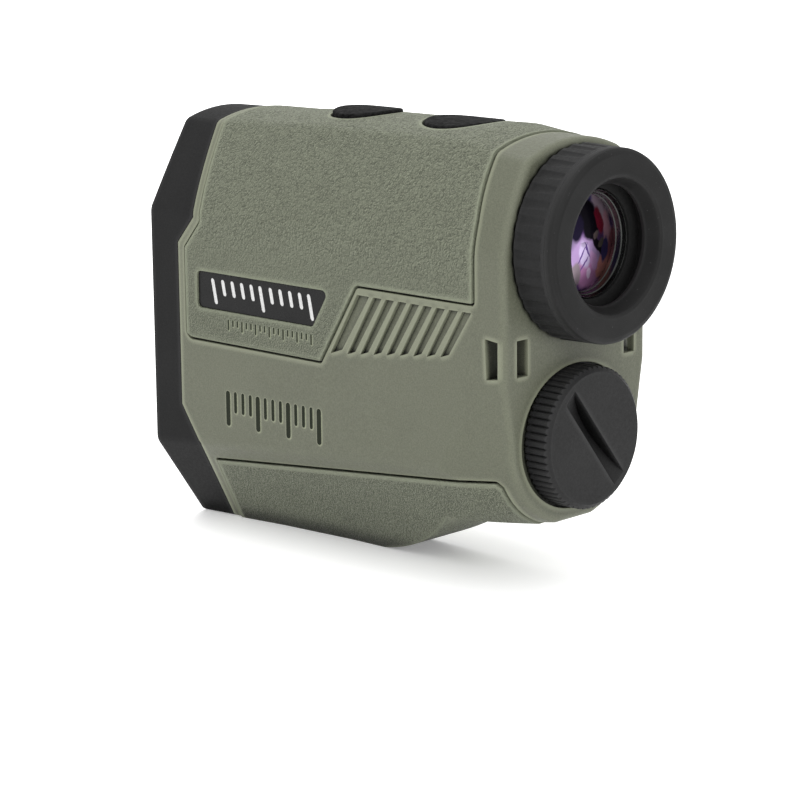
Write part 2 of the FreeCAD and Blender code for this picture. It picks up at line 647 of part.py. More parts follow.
def prism_roof():
    """Rear prism with a roof ridge along its upper face."""
    outline = [(-5.4, PRISM_LOW_Z), (2.4, 71.0), (-11.0, 71.0), (-14.0, 66.0), (-14.0, PRISM_LOW_Z)]
    body = prism_x(outline, -PRISM_HALF_WIDTH, PRISM_HALF_WIDTH)
    trims = both_sides(prism_y([(2.0, 71.5), (9.0, 71.5), (9.0, 66.0)], -20, 10))
    return body.cut(trims)


def prism_clamp():
    """Sprung strap across the two prisms, with feet on the chassis walls."""
    reach = BAY_HALF_WIDTH + BAY_WALL
    strap = box(-reach, reach, -12.5, -9.5, BAY_TOP_Z, BAY_TOP_Z + 0.5)
    pad = box(-1.5, 1.5, -12.5, -9.5, 71.0, BAY_TOP_Z)
    return strap.fuse(pad)


def detector_board():
    return box(-7.5, 7.5, 3.4, 12.4, 72.6, 72.6 + BOARD - 0.2)


def detector_diode():
    return pin(2.0, 0, 7.5, 71.4, 72.6)


def display_glass():
    return box(-8.5, 8.5, -18.4, -17.0, 55.0, 71.0)


def eyepiece_sleeve():
    """Fixed threaded tube that the dioptre ring turns on, with a flange inside the housing."""
    outline = [(SLEEVE_BORE, -24), (15.0, -24), (15.0, -32.5), (16.2, -32.5), (16.2, -34),
               (SLEEVE_RADIUS, -34), (SLEEVE_RADIUS, -42.5), (13.3, -42.5), (13.3, -43.4),
               (SLEEVE_RADIUS, -43.4), (SLEEVE_RADIUS, -45.6), (SLEEVE_BORE, -45.6)]
    return turned(outline, OPTICS_Z)


def seal_ring(major, minor, y, z):
    return Part.makeTorus(major, minor, VECTOR(0, y, z), VECTOR(0, 1, 0))


def eyepiece_barrel():
    """Sliding tube that holds the eye lens and the field lens on either side of a stop."""
    outline = [(BARREL_RADIUS, BARREL_FRONT_Y), (BARREL_RADIUS, BARREL_REAR_Y), (BARREL_BORE, BARREL_REAR_Y),
               (BARREL_BORE, -38.5), (8.4, -38.5), (8.4, -31), (BARREL_BORE, -31),
               (BARREL_BORE, BARREL_FRONT_Y)]
    return turned(outline, OPTICS_Z)


def eye_lens():
    return lens(BARREL_BORE - 0.05, EYE_LENS_Y + 0.05, -38.5, 1.1, 0.0, OPTICS_Z)


def field_lens():
    return lens(8.35, -33.5, -31.5, 0.6, 0.0, OPTICS_Z)


def eye_lens_retainer():
    """Thin threaded ring with a stepped mouth."""
    outline = [(9.85, -41.6), (9.85, -44.0), (9.6, -44.2), (9.3, -43.4), (9.1, -43.3), (8.95, -42.4),
               (8.75, -42.3), (8.75, -41.6)]
    return turned(outline, OPTICS_Z)


def diopter_ring():
    front = REAR_Y - RING_GAP
    bore = SLEEVE_RADIUS + 0.06
    body = turned([(bore, front), (RING_RADIUS - 0.3, front), (RING_RADIUS, front - 0.3),
                   (RING_RADIUS - 0.1, -45.0), (CUP_RADIUS, RING_REAR_Y), (12.9, RING_REAR_Y), (12.9, -46.0),
                   (bore, -46.0)], OPTICS_Z)
    flute = rod(1.6, -47.3, front + 1, OPTICS_Z, RING_RADIUS + 1.22)
    return body.cut(on_ring(flute, RING_RIBS, OPTICS_Z))


def eyecup():
    outline = [(12.85, RING_REAR_Y), (CUP_RADIUS, RING_REAR_Y), (CUP_RADIUS, -49.0), (17.3, -49.45),
               (16.9, -49.8), (16.2, TAIL_Y), (12.7, TAIL_Y), (12.2, -49.8), (CUP_MOUTH_RADIUS, -49.4),
               (CUP_THROAT_RADIUS, -47.3), (CUP_THROAT_RADIUS, -46.7), (12.85, -46.7)]
    return turned(outline, OPTICS_Z)


# ---- keys and boards ----------------------------------------------------------------------------
def key_pad(key):
    """Oval pad, arched like the deck, on a round stem."""
    above = box(-30, 30, -50, 60, KEY_UNDERSIDE_Z, 95)
    arch_z = key[3] - KEY_ARCH_RADIUS
    arch = rod(KEY_ARCH_RADIUS, -50, 60, arch_z)
    arch.rotate(VECTOR(0, 0, arch_z), VECTOR(0, 1, 0), 180)    # brings the seam of the bar underneath
    pad = key_outline(key, 0.0).common(arch).common(above)
    rim = [edge for edge in pad.Edges if edge.BoundBox.ZMin > KEY_UNDERSIDE_Z + 0.6]
    pad = pad.makeFillet(0.45, rim)
    return pad.fuse(pin(KEY_STEM_RADIUS, 0, key[0], KEY_STEM_LOW_Z, KEY_UNDERSIDE_Z))


def key_seal(key):
    sheet = key_outline(key, KEY_GAP - 0.1)
    sheet = sheet.common(box(-20, 20, -50, 50, KEY_FLOOR_TOP_Z, KEY_FLOOR_TOP_Z + KEY_MAT))
    return sheet.cut(pin(KEY_STEM_RADIUS + 0.3, 0, key[0], 75, 85))


def key_board():
    low_z = SWITCH_TOP_Z - SWITCH_HEIGHT - BOARD
    board = box(-8, 8, -22, 15, low_z, low_z + BOARD)
    return board.cut(both_sides(pin(1.0, KEY_POST[0], KEY_POST[1], 70, 80)))


def tact_switch(key):
    low_z = SWITCH_TOP_Z - SWITCH_HEIGHT
    base = box(-3, 3, key[0] - 3, key[0] + 3, low_z, low_z + 1.0)
    return base.fuse(pin(1.5, 0, key[0], low_z + 1.0, SWITCH_TOP_Z))


def main_board():
    board = box(BOARD_X, BOARD_X + BOARD, -28, 26, 23, 47)
    for y in EAR_CENTRES:
        board = board.cut(cross_pin(0.8, BOARD_X - 2, BOARD_X + 4, y))
    return board


def board_chips():
    """Processor, driver, regulator and connector on the inner face of the main board."""
    sizes = ((-20, 9, 9, 1.2), (-6, 6, 5, 1.0), (4, 4, 4, 0.9), (21, 5, 12, 1.6))
    chips = []
    for y, length, height, thick in sizes:
        low_z = 33 - height / 2
        chips.append(box(BOARD_X - thick, BOARD_X, y - length / 2, y + length / 2, low_z, low_z + height))
    return Part.makeCompound(chips)


def key_flex():
    """Ribbon from the key board down to the main board."""
    thick = 0.15
    top_z = SWITCH_TOP_Z - SWITCH_HEIGHT - BOARD / 2
    leg_x = 11.6
    outline = [(8.0, top_z), (leg_x + thick, top_z), (leg_x + thick, 46.0), (BOARD_X, 46.0),
               (BOARD_X, 46.0 - thick), (leg_x, 46.0 - thick), (leg_x, top_z - thick), (8.0, top_z - thick)]
    return prism_y(outline, 0.0, 7.0)


def laser_board():
    return box(-7, 7, 10.2, 11.2, LOWER_Z - 7, LOWER_Z + 7)


# ---- battery and cap ----------------------------------------------------------------------------
def battery_tube():
    """Cup that the cell slides into, flanged behind the thread ring."""
    flange = RING_OUTER - 0.05
    outline = [(8.1, -35.2), (flange, -35.2), (flange, -33.7), (9.6, -33.7), (9.6, -8.0), (0.0, -8.0),
               (0.0, -9.5), (8.1, -9.5)]
    return turned(outline, LOWER_Z)


def battery():
    """Lithium cell with a raised front terminal."""
    front = CELL_REAR_Y + CELL_LENGTH
    outline = [(0, CELL_REAR_Y), (CELL_RADIUS - 0.4, CELL_REAR_Y), (CELL_RADIUS, CELL_REAR_Y + 0.4),
               (CELL_RADIUS, front - 1.2), (CELL_RADIUS - 0.6, front - 0.8), (3.3, front - 0.8),
               (3.3, front), (0, front)]
    return turned(outline, LOWER_Z)


def front_contact():
    touch = CELL_REAR_Y + CELL_LENGTH
    return turned([(0, touch), (1.5, touch), (3.4, -9.9), (6.0, -9.9), (6.0, -9.5), (0, -9.5)], LOWER_Z)


def thread_ring():
    """Brass ring moulded into the housing, with a countersunk mouth for the cap's seal."""
    outline = [(THREAD_RADIUS, -35.2), (RING_OUTER, -35.2), (RING_OUTER, COUNTERBORE_Y),
               (11.3, COUNTERBORE_Y), (11.3, -38.5), (THREAD_RADIUS, -37.6)]
    return turned(outline, LOWER_Z)


def battery_cap():
    head_front = COUNTERBORE_Y - 0.4
    skirt = THREAD_RADIUS - THREAD_CLEARANCE
    body = turned([(0, CAP_FACE_Y), (CAP_FACE_RADIUS, CAP_FACE_Y), (CAP_RADIUS, CAP_FACE_Y + 0.8),
                   (CAP_RADIUS, head_front), (skirt, head_front), (skirt, -36.0), (8.5, -36.0), (8.5, -39.95),
                   (0, -39.95)], LOWER_Z)
    tooth_gap = 2 * math.pi * CAP_RADIUS / CAP_TEETH
    depth = 0.45
    groove = prism_y([(CAP_RADIUS - depth, LOWER_Z), (CAP_RADIUS + 0.1, LOWER_Z - 0.34 * tooth_gap),
                      (CAP_RADIUS + 0.1, LOWER_Z + 0.34 * tooth_gap)], CAP_FACE_Y - 1, head_front + 1)
    body = body.cut(on_ring(groove, CAP_TEETH, LOWER_Z))
    return body.cut(coin_slot())


def coin_slot():
    """Slot with a round bottom, as a coin would cut it."""
    depth = COIN_RADIUS - math.sqrt(COIN_RADIUS ** 2 - COIN_SLOT_REACH ** 2)
    centre = VECTOR(0, CAP_FACE_Y + depth - COIN_RADIUS, LOWER_Z - COIN_SLOT_WIDTH / 2)
    coin = Part.makeCylinder(COIN_RADIUS, COIN_SLOT_WIDTH, centre, VECTOR(0, 0, 1))
    coin.rotate(VECTOR(0, 0, LOWER_Z), VECTOR(0, 1, 0), -SLOT_ANGLE)
    return coin


def cap_contact():
    return rod(7.4, -39.2, -38.4, LOWER_Z).fuse(rod(2.0, -39.6, -39.2, LOWER_Z))


# ---- fasteners ----------------------------------------------------------------------------------
def chassis_screws():
    screws = []
    for x, z in BOSS_CENTRES:
        head = rod(1.8, BULKHEAD_FRONT_Y, BULKHEAD_FRONT_Y + 1.2, z, x)
        shank = rod(SCREW_RADIUS - 0.02, BOSS_REAR_Y + 2.5, BULKHEAD_FRONT_Y, z, x)
        screw = head.fuse(shank)
        cross = []
        for reach_x, reach_z in ((CROSS_REACH, CROSS_HALF_WIDTH), (CROSS_HALF_WIDTH, CROSS_REACH)):
            cross.append(box(x - reach_x, x + reach_x, BULKHEAD_FRONT_Y + 0.6, BULKHEAD_FRONT_Y + 2,
                             z - reach_z, z + reach_z))
        screws += both_sides(screw.cut(cross))
    return Part.makeCompound(screws)


def board_screws():
    """Two screws under the key board and two in the main board."""
    low_z = SWITCH_TOP_Z - SWITCH_HEIGHT - BOARD
    x, y = KEY_POST
    key_screw = pin(1.6, x, y, low_z - 0.7, low_z).fuse(pin(SMALL_SCREW_RADIUS, x, y, low_z, low_z + 3.0))
    screws = both_sides(key_screw)
    for ear_y in EAR_CENTRES:
        face_x = BOARD_X + BOARD
        head = cross_pin(1.5, face_x, face_x + 0.8, ear_y)
        shank = cross_pin(SMALL_SCREW_RADIUS, face_x - 4.0, face_x, ear_y)
        screws.append(head.fuse(shank))
    return Part.makeCompound(screws)


NODES = {
    "main_housing": main_housing,
    "upper_grip_skin": upper_grip_skin,
    "lower_grip_skin": lower_grip_skin,
    "front_bezel": front_bezel,
    "bezel_gasket": bezel_gasket,
    "badge_plate_right": lambda: badge_plate(1),
    "badge_plate_left": lambda: badge_plate(-1),
    "optical_chassis": optical_chassis,
    "objective_cell": objective_cell,
    "objective_lens": objective_lens,
    "objective_retainer": objective_retainer,
    "emitter_tube": emitter_tube,
    "emitter_lens": emitter_lens,
    "emitter_retainer": emitter_retainer,
    "laser_diode": laser_diode,
    "laser_board": laser_board,
    "prism_front": prism_front,
    "prism_roof": prism_roof,
    "prism_clamp": prism_clamp,
    "detector_board": detector_board,
    "detector_diode": detector_diode,
    "display_glass": display_glass,
    "eyepiece_sleeve": eyepiece_sleeve,
    "eyepiece_seal": lambda: seal_ring(13.7, 0.39, -42.95, OPTICS_Z),
    "eyepiece_barrel": eyepiece_barrel,
    "eye_lens": eye_lens,
    "field_lens": field_lens,
    "eye_lens_retainer": eye_lens_retainer,
    "diopter_ring": diopter_ring,
    "eyecup": eyecup,
    "measure_button": lambda: key_pad(MEASURE_KEY),
    "mode_button": lambda: key_pad(MODE_KEY),
    "measure_key_seal": lambda: key_seal(MEASURE_KEY),
    "mode_key_seal": lambda: key_seal(MODE_KEY),
    "key_board": key_board,
    "measure_switch": lambda: tact_switch(MEASURE_KEY),
    "mode_switch": lambda: tact_switch(MODE_KEY),
    "main_board": main_board,
    "board_chips": board_chips,
    "key_flex": key_flex,
    "battery_tube": battery_tube,
    "battery": battery,
    "front_contact": front_contact,
    "thread_ring": thread_ring,
    "battery_cap": battery_cap,
    "cap_contact": cap_contact,
    "cap_seal": lambda: seal_ring(10.5, 0.5, -39.25, LOWER_Z),
    "chassis_screws": chassis_screws,
    "board_screws": board_screws,
}


def main():
    os.makedirs("parts", exist_ok=True)
    for name, make in NODES.items():
        shape = make()
        if not shape.isValid():
            raise ValueError("broken shape: " + name)
        shape.exportStep("parts/" + name + ".step")
        print(name, len(shape.Solids), round(shape.Volume, 1))


main()
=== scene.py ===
"""Looks of a handheld laser rangefinder: materials, printed and engraved marks, studio light and camera."""
import json
import math

import bmesh
import bpy
from mathutils import Matrix, Vector


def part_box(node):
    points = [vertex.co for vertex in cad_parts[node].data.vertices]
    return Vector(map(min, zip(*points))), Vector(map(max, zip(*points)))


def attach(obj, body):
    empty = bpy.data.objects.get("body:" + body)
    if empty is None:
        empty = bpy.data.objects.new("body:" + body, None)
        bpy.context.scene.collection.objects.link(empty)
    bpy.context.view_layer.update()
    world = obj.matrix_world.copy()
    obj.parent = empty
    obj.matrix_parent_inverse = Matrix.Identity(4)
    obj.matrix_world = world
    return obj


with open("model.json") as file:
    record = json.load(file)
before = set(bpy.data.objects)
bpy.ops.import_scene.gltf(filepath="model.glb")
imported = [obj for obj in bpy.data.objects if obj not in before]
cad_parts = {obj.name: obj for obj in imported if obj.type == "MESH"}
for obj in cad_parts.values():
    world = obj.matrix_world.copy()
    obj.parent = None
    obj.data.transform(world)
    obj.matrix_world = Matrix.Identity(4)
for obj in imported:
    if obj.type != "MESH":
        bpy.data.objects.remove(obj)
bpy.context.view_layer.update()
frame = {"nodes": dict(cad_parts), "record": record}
MM = 0.001

# ---- camera and light, in millimetres and degrees -----------------------------------------------
LENS = 134.8
SENSOR_WIDTH = 36.0
CAMERA_AZIMUTH = -46.18
CAMERA_ELEVATION = 12.38
CAMERA_ROLL = -0.62
CAMERA_DISTANCE = 567.2
CAMERA_HEIGHT_AIM = 28.3      # height that the view's centre looks at
CAMERA_SIDE_AIM = -2.36       # how far to the camera's right of the body's middle it looks
CLIP_NEAR = 10.0
CLIP_FAR = 40000.0

WORLD_STRENGTH = 0.9
FLOOR_RADIUS = 9000.0
FLOOR_SEGMENTS = 96
FLOOR_GLOW = 0.22             # the table is lit from below
BODY_MIDDLE = (0, 0, 40)
SOFTBOXES = (                 # name, place, width and height, watts
    ("key_softbox", (-520, -60, 620), (600, 600), 1.6),
    ("rear_softbox", (-250, -620, 360), (300, 260), 0.9),
    ("top_softbox", (60, 120, 760), (700, 700), 2.6),
)
BACKDROP_LIGHT_X = 1500       # a broad light over the floor behind the object
BACKDROP_LIGHT_Y = 1400
BACKDROP_LIGHT_Z = 900
BACKDROP_LIGHT_SIZE = 1800
BACKDROP_LIGHT_POWER = 60.0

# ---- marks on the sides, in millimetres ---------------------------------------------------------
MARK_PROUD = 0.02             # how far a mark stands out of its face
MARK_SUNK = 0.15              # how far it reaches into it
MARK_BEVEL = 0.04
CAST_FROM_X = 60.0            # outside the body, where the search for a side face starts
STROKE_END_SEGMENTS = 6
HIGHLIGHT_RIM_SHIFT = 0.16              # offset of the painted highlight rim below and behind an engraved stroke
# how much wider the painted highlight rim is than its stroke
HIGHLIGHT_RIM_WIDER = 0.1

BADGE_STROKES = 11
BADGE_STROKE_PITCH = 2.6
BADGE_STROKE_WIDTH = 0.85
BADGE_STROKE_LONG = 4.9
BADGE_STROKE_SHORT = 3.1
BADGE_STROKE_SLANT = 0.21
BADGE_LONG_EVERY = 5
BADGE_TOP_MARGIN = 1.1
BADGE_FRONT_MARGIN = 4.4

SCALE_FRONT_Y = 29.5          # engraved scale under the badge panel
SCALE_REAR_Y = 5.0
SCALE_TOP_Z = 29.2
SCALE_FACE_DROP = 2.0         # the side face is felt this far below the strokes' tops
SCALE_STEPS = 12
SCALE_LONG_EVERY = 4
SCALE_LONG = (6.9, 1.15)      # length and width of a long stroke
SCALE_SHORT = (4.2, 0.8)

FINE_FRONT_Y = 28.6           # fine row inside the badge panel
FINE_REAR_Y = 6.4
FINE_TOP_Z = 43.2
FINE_FACE_DROP = 1.0
FINE_STEPS = 18
FINE_LONG_EVERY = 3
FINE_LONG = 2.1
FINE_SHORT = 1.3
FINE_WIDTH = 0.42

# ---- painted shade, painted edge highlights and grain, in millimetres ---------------------------
EDGE_REACH = 1.1              # width of the painted highlight along a convex edge
GROOVE_REACH = 1.0            # width of a groove that gets painted shade
HOLLOW_REACH = 6.0            # depth of an opening that is painted dark inside as shade
OCCLUSION_SAMPLES = 6
BEVEL_SAMPLES = 4
FINE_GRAIN = 0.45             # leather grain low on the sides
BOLD_GRAIN = 0.75             # leather grain high on the flanks
BOLD_GRAIN_FROM_Z = 46.0
BOLD_GRAIN_FULL_Z = 60.0
PAINTED_LIGHT_STEP = (0.0, 0.07, 0.09)   # painted light from above: the grain's slope is felt over this step
CELL_BAND_Y = -22.0           # the battery's bright end shows behind this

# ---- colours ------------------------------------------------------------------------------------
OLIVE = (0.106, 0.112, 0.079)
SKIN_OLIVE = (0.112, 0.121, 0.086)
SATIN_BLACK = (0.018, 0.018, 0.0182)
RING_BLACK = (0.016, 0.016, 0.0162)
# rubber colour that the painted edge highlight is lifted from
RUBBER_EDGE_HIGHLIGHT = (0.014, 0.014, 0.014)
DUST = (0.10, 0.10, 0.10)
BLACK = (0, 0, 0)
WHITE = (1, 1, 1)


def grey(level):
    return (level, level, level)


def scaled_color(color, amount):
    return tuple(min(1.0, channel * amount) for channel in color)


# ---- node helpers -------------------------------------------------------------------------------
class Surface:
    """A material with a Principled shader, and short calls that add nodes to it."""

    def __init__(self, name, **values):
        self.material = bpy.data.materials.new(name)
        self.material.use_nodes = True
        self.tree = self.material.node_tree
        self.shader = self.tree.nodes["Principled BSDF"]
        for socket, value in values.items():
            self.shader.inputs[socket.replace("_", " ")].default_value = value

    def add(self, kind, inputs=None, **settings):
        node = self.tree.nodes.new("ShaderNode" + kind)
        for name, value in settings.items():
            setattr(node, name, value)
        for name, value in (inputs or {}).items():
            if isinstance(value, bpy.types.NodeSocket):
                self.tree.links.new(value, node.inputs[name])
            else:
                node.inputs[name].default_value = value
        return node

    def place(self):
        """Position in the row frame, in metres."""
        return self.add("TexCoord").outputs["Object"]

    def noise(self, scale_mm, detail=2.0, roughness=0.5, at=None):
        """Soft noise with features of the given size."""
        inputs = {"Vector": at or self.place(), "Scale": 1 / (scale_mm * MM), "Detail": detail,
                  "Roughness": roughness}
        return self.add("TexNoise", inputs).outputs["Fac"]

    def cells(self, size_mm, at=None, feature="F1"):
        """Distance field of scattered cells of the given size."""
        inputs = {"Vector": at or self.place(), "Scale": 1 / (size_mm * MM)}
        return self.add("TexVoronoi", inputs, feature=feature).outputs["Distance"]

    def ramp(self, factor, *stops):
        """Colour ramp over stops of a position and a colour."""
        node = self.add("ValToRGB", {"Fac": factor})
        elements = node.color_ramp.elements
        while len(elements) < len(stops):
            elements.new(0.5)
        for element, (position, color) in zip(elements, stops):
            element.position = position
            element.color = (*color, 1)
        return node.outputs["Color"]

    def greys(self, factor, low, high, start=0.3, end=0.7):
        """Ramp from one grey level to another."""
        return self.ramp(factor, (start, grey(low)), (end, grey(high)))

    def math(self, operation, a, b=0.0):
        """Arithmetic on two values, each a socket or a number."""
        node = self.add("Math", operation=operation)
        for socket, value in zip(node.inputs, (a, b)):
            if isinstance(value, bpy.types.NodeSocket):
                self.tree.links.new(value, socket)
            else:
                socket.default_value = value
        return node.outputs["Value"]

    def mix(self, factor, a, b, blend="MIX"):
        """Blend two colours, each a socket or a triple."""
        node = self.add("Mix", data_type="RGBA", blend_type=blend)
        sockets = {s.identifier: s for s in node.inputs}
        for identifier, value in (("Factor_Float", factor), ("A_Color", a), ("B_Color", b)):
            if isinstance(value, bpy.types.NodeSocket):
                self.tree.links.new(value, sockets[identifier])
            elif identifier == "Factor_Float":
                sockets[identifier].default_value = value
            else:
                sockets[identifier].default_value = (*value, 1)
        return {s.identifier: s for s in node.outputs}["Result_Color"]

    def warped(self, scale_mm, amount_mm):
        """Position shifted about by a soft noise."""
        swirl = self.add("TexNoise", {"Vector": self.place(), "Scale": 1 / (scale_mm * MM), "Detail": 2.0})
        centred = self.add("VectorMath", {0: swirl.outputs["Color"], 1: grey(0.5)}, operation="SUBTRACT")
        scaled = self.add("VectorMath", {0: centred.outputs[0], "Scale": amount_mm * MM}, operation="SCALE")
        return self.add("VectorMath", {0: self.place(), 1: scaled.outputs[0]}, operation="ADD").outputs[0]

    def rounded(self, radius_mm):
        """Normal that rounds sharp edges over the given radius."""
        return self.add("Bevel", {"Radius": radius_mm * MM}, samples=BEVEL_SAMPLES).outputs["Normal"]

    def open_share(self, reach_mm, inside=False):
        """1 on open faces, less where the surface closes in (or falls away, seen from inside)."""
        inputs = {"Distance": reach_mm * MM}
        return self.add("AmbientOcclusion", inputs, inside=inside, samples=OCCLUSION_SAMPLES).outputs["AO"]

    def paint_shade_and_edge_light(self, tone, color, edge_light):
        """Tone with painted shade in grooves and deep openings and a painted highlight along convex edges."""
        # painted shade in grooves and in deep openings, and a painted highlight along convex edges
        grooves = self.ramp(self.open_share(GROOVE_REACH), (0.35, grey(0.1)), (0.8, WHITE))
        hollows = self.ramp(self.open_share(HOLLOW_REACH), (0.3, grey(0.2)), (0.6, WHITE))
        edges = self.ramp(self.open_share(EDGE_REACH, inside=True), (0.68, WHITE), (0.97, BLACK))
        tone = self.mix(1.0, tone, grooves, "MULTIPLY")
        tone = self.mix(1.0, tone, hollows, "MULTIPLY")
        return self.mix(edges, tone, scaled_color(color, edge_light))

    def bump(self, height, depth_mm, normal=None):
        """Normal roughened by a height, over another normal if one is given."""
        inputs = {"Height": height, "Distance": depth_mm * MM, "Strength": 1.0}
        if normal is not None:
            inputs["Normal"] = normal
        return self.add("Bump", inputs).outputs["Normal"]

    def finish(self, color=None, roughness=None, normal=None):
        """Wire what is given to the shader and return the material."""
        for socket, value in (("Base Color", color), ("Roughness", roughness), ("Normal", normal)):
            if value is not None:
                self.tree.links.new(value, self.shader.inputs[socket])
        return self.material


# ---- materials ----------------------------------------------------------------------------------
def moulded(name, color, grain_mm, depth_mm, roughness, edge_mm=0.25, edge_light=1.25, spread=0.12, **values):
    """Moulded plastic: fine spark-eroded grain, faint blotches, painted highlights along edges and painted
    shade in grooves and openings.
    """
    surface = Surface(name, **values)
    blotches = surface.noise(14.0, 3.0)
    tone = surface.ramp(blotches, (0.3, scaled_color(color, 1 - spread)),
                        (0.7, scaled_color(color, 1 + spread)))
    speckle = surface.noise(grain_mm, 3.0, 0.65)
    flecks = surface.greys(speckle, 0.8, 1.1, 0.35, 0.65)
    tone = surface.mix(1.0, tone, flecks, "MULTIPLY")
    normal = surface.rounded(edge_mm)
    # painted shade in grooves and openings, painted highlight along edges
    tone = surface.paint_shade_and_edge_light(tone, color, edge_light)
    gloss = surface.greys(surface.noise(grain_mm * 2.2, 2.0), roughness - 0.06, roughness + 0.06, 0.35, 0.65)
    return surface.finish(tone, gloss, surface.bump(speckle, depth_mm, normal))


def housing_plastic():
    return moulded("olive_plastic", OLIVE, 0.28, 0.03, 0.5, edge_mm=0.3, edge_light=1.75, spread=0.03,
                   Specular_IOR_Level=0.3)


def bezel_plastic():
    return moulded("satin_black", SATIN_BLACK, 0.22, 0.012, 0.62, edge_mm=0.3, edge_light=1.5, spread=0.06,
                   Specular_IOR_Level=0.05)


def ring_plastic():
    return moulded("ring_black", RING_BLACK, 0.28, 0.03, 0.6, edge_mm=0.2, edge_light=1.5,
                   Specular_IOR_Level=0.12)


def cap_plastic():
    return moulded("cap_black", SATIN_BLACK, 0.24, 0.012, 0.55, edge_mm=0.15, edge_light=1.6,
                   Specular_IOR_Level=0.12)


def chip_epoxy():
    return moulded("chip_epoxy", (0.02, 0.02, 0.021), 0.2, 0.01, 0.5)


def creased(surface, size_mm, at):
    """1 on plateaus and 0 along the meandering creases between them."""
    wave = surface.noise(size_mm, at=at)
    off_crease = surface.math("ABSOLUTE", surface.math("SUBTRACT", wave, 0.5))
    return surface.ramp(off_crease, (0.0, BLACK), (0.06, WHITE))


def leather_height(surface, size_mm, shift_mm):
    """Height of a leather grain at a shifted place: small pebbles between meandering creases."""
    shift = tuple(step * MM for step in shift_mm)
    at = surface.add("VectorMath", {0: surface.warped(size_mm, size_mm * 0.5), 1: shift}).outputs[0]
    creases = surface.math("MULTIPLY", creased(surface, size_mm * 1.3, at), 0.4)
    pebbles = surface.math("MULTIPLY", surface.cells(size_mm * 0.5, at, "SMOOTH_F1"), -0.5)
    pores = surface.math("MULTIPLY", surface.noise(size_mm * 0.35, 2.0, 0.6, at), 0.6)
    return surface.math("ADD", surface.math("ADD", creases, pebbles), surface.math("ADD", pores, 0.15))


def skin_height(surface, shift_mm=(0, 0, 0)):
    """Bold grain high on the flanks, turning finer low on the sides."""
    height_above = surface.add("SeparateXYZ", {"Vector": surface.place()}).outputs["Z"]
    above = surface.math("SUBTRACT", height_above, BOLD_GRAIN_FROM_Z * MM)
    share = surface.math("DIVIDE", above, (BOLD_GRAIN_FULL_Z - BOLD_GRAIN_FROM_Z) * MM)
    share = surface.ramp(share, (0.0, BLACK), (1.0, WHITE))
    fine = leather_height(surface, FINE_GRAIN, shift_mm)
    bold = leather_height(surface, BOLD_GRAIN, shift_mm)
    return surface.mix(share, fine, bold)


def grip_skin():
    """Leather-grained skin with painted shade in its creases, painted highlights on its raised parts, painted
    light from above on the upper side of every wrinkle, painted shade in grooves and openings and painted
    highlights along edges.
    """
    surface = Surface("grained_skin", Specular_IOR_Level=0.3)
    grain = skin_height(surface)
    # painted shade in the creases and painted highlight on the raised parts of the grain
    tone = surface.ramp(grain, (0.2, scaled_color(SKIN_OLIVE, 0.74)), (0.6, SKIN_OLIVE),
                        (0.9, scaled_color(SKIN_OLIVE, 1.25)))
    # painted light from above: each wrinkle is paler on its side that faces up
    rise = surface.math("SUBTRACT", grain, skin_height(surface, PAINTED_LIGHT_STEP))
    slope = surface.math("ADD", surface.math("MULTIPLY", rise, 1.2), 0.5)
    painted_light_from_above = surface.ramp(slope, (0.15, grey(0.6)), (0.5, WHITE), (0.85, grey(1.55)))
    tone = surface.mix(1.0, tone, painted_light_from_above, "MULTIPLY")
    tone = surface.mix(1.0, tone, surface.greys(surface.noise(9.0, 3.0), 0.97, 1.03), "MULTIPLY")
    # painted shade in grooves and openings, painted highlight along edges
    tone = surface.paint_shade_and_edge_light(tone, SKIN_OLIVE, 1.7)
    gloss = surface.greys(grain, 0.72, 0.5, 0.3, 0.9)
    return surface.finish(tone, gloss, surface.bump(grain, 0.2, surface.rounded(0.35)))


def cup_rubber():
    """Soft rubber with a dry bloom, a few pale dust specks, painted shade in grooves and openings and painted
    highlights along edges.
    """
    surface = Surface("cup_rubber", Specular_IOR_Level=0.12)
    bloom = surface.greys(surface.noise(6.0, 4.0), 0.009, 0.014, 0.35)
    dust = surface.greys(surface.noise(0.45, 1.0), 0, 1, 0.72, 0.8)
    tone = surface.mix(surface.math("MULTIPLY", dust, 0.35), bloom, DUST)
    # painted shade in grooves and openings, painted highlight along edges
    tone = surface.paint_shade_and_edge_light(tone, RUBBER_EDGE_HIGHLIGHT, 1.6)
    grain = surface.noise(0.35, 3.0, 0.6)
    gloss = surface.greys(surface.noise(3.0, 2.0), 0.5, 0.64)
    return surface.finish(tone, gloss, surface.bump(grain, 0.02, surface.rounded(0.3)))


def key_rubber():
    """Grained rubber of the two keys."""
    surface = Surface("key_rubber", Specular_IOR_Level=0.03)
    grain = surface.noise(0.7, 3.0, 0.6)
    tone = surface.greys(grain, 0.003, 0.018, 0.35)
    gloss = surface.greys(surface.noise(1.6, 2.0), 0.6, 0.75)
    return surface.finish(tone, gloss, surface.bump(grain, 0.12, surface.rounded(0.25)))


def badge_gloss():
    """Gloss black plate with hairline scuffs."""
    surface = Surface("badge_gloss", Specular_IOR_Level=0.12)
    tone = surface.greys(surface.noise(7.0, 2.0), 0.008, 0.011)
    scuffs = surface.noise(1.2, 4.0, 0.7)
    gloss = surface.greys(scuffs, 0.24, 0.38, 0.4, 0.75)
    return surface.finish(tone, gloss, surface.bump(scuffs, 0.004, surface.rounded(0.2)))


def anodised():
    """Black anodised aluminium with a turned sheen."""
    surface = Surface("black_anodised", Metallic=1.0)
    rings = surface.noise(2.5, 1.0)
    tone = surface.ramp(rings, (0.3, (0.040, 0.042, 0.040)), (0.7, (0.058, 0.060, 0.058)))
    return surface.finish(tone, surface.greys(rings, 0.22, 0.3), surface.rounded(0.12))


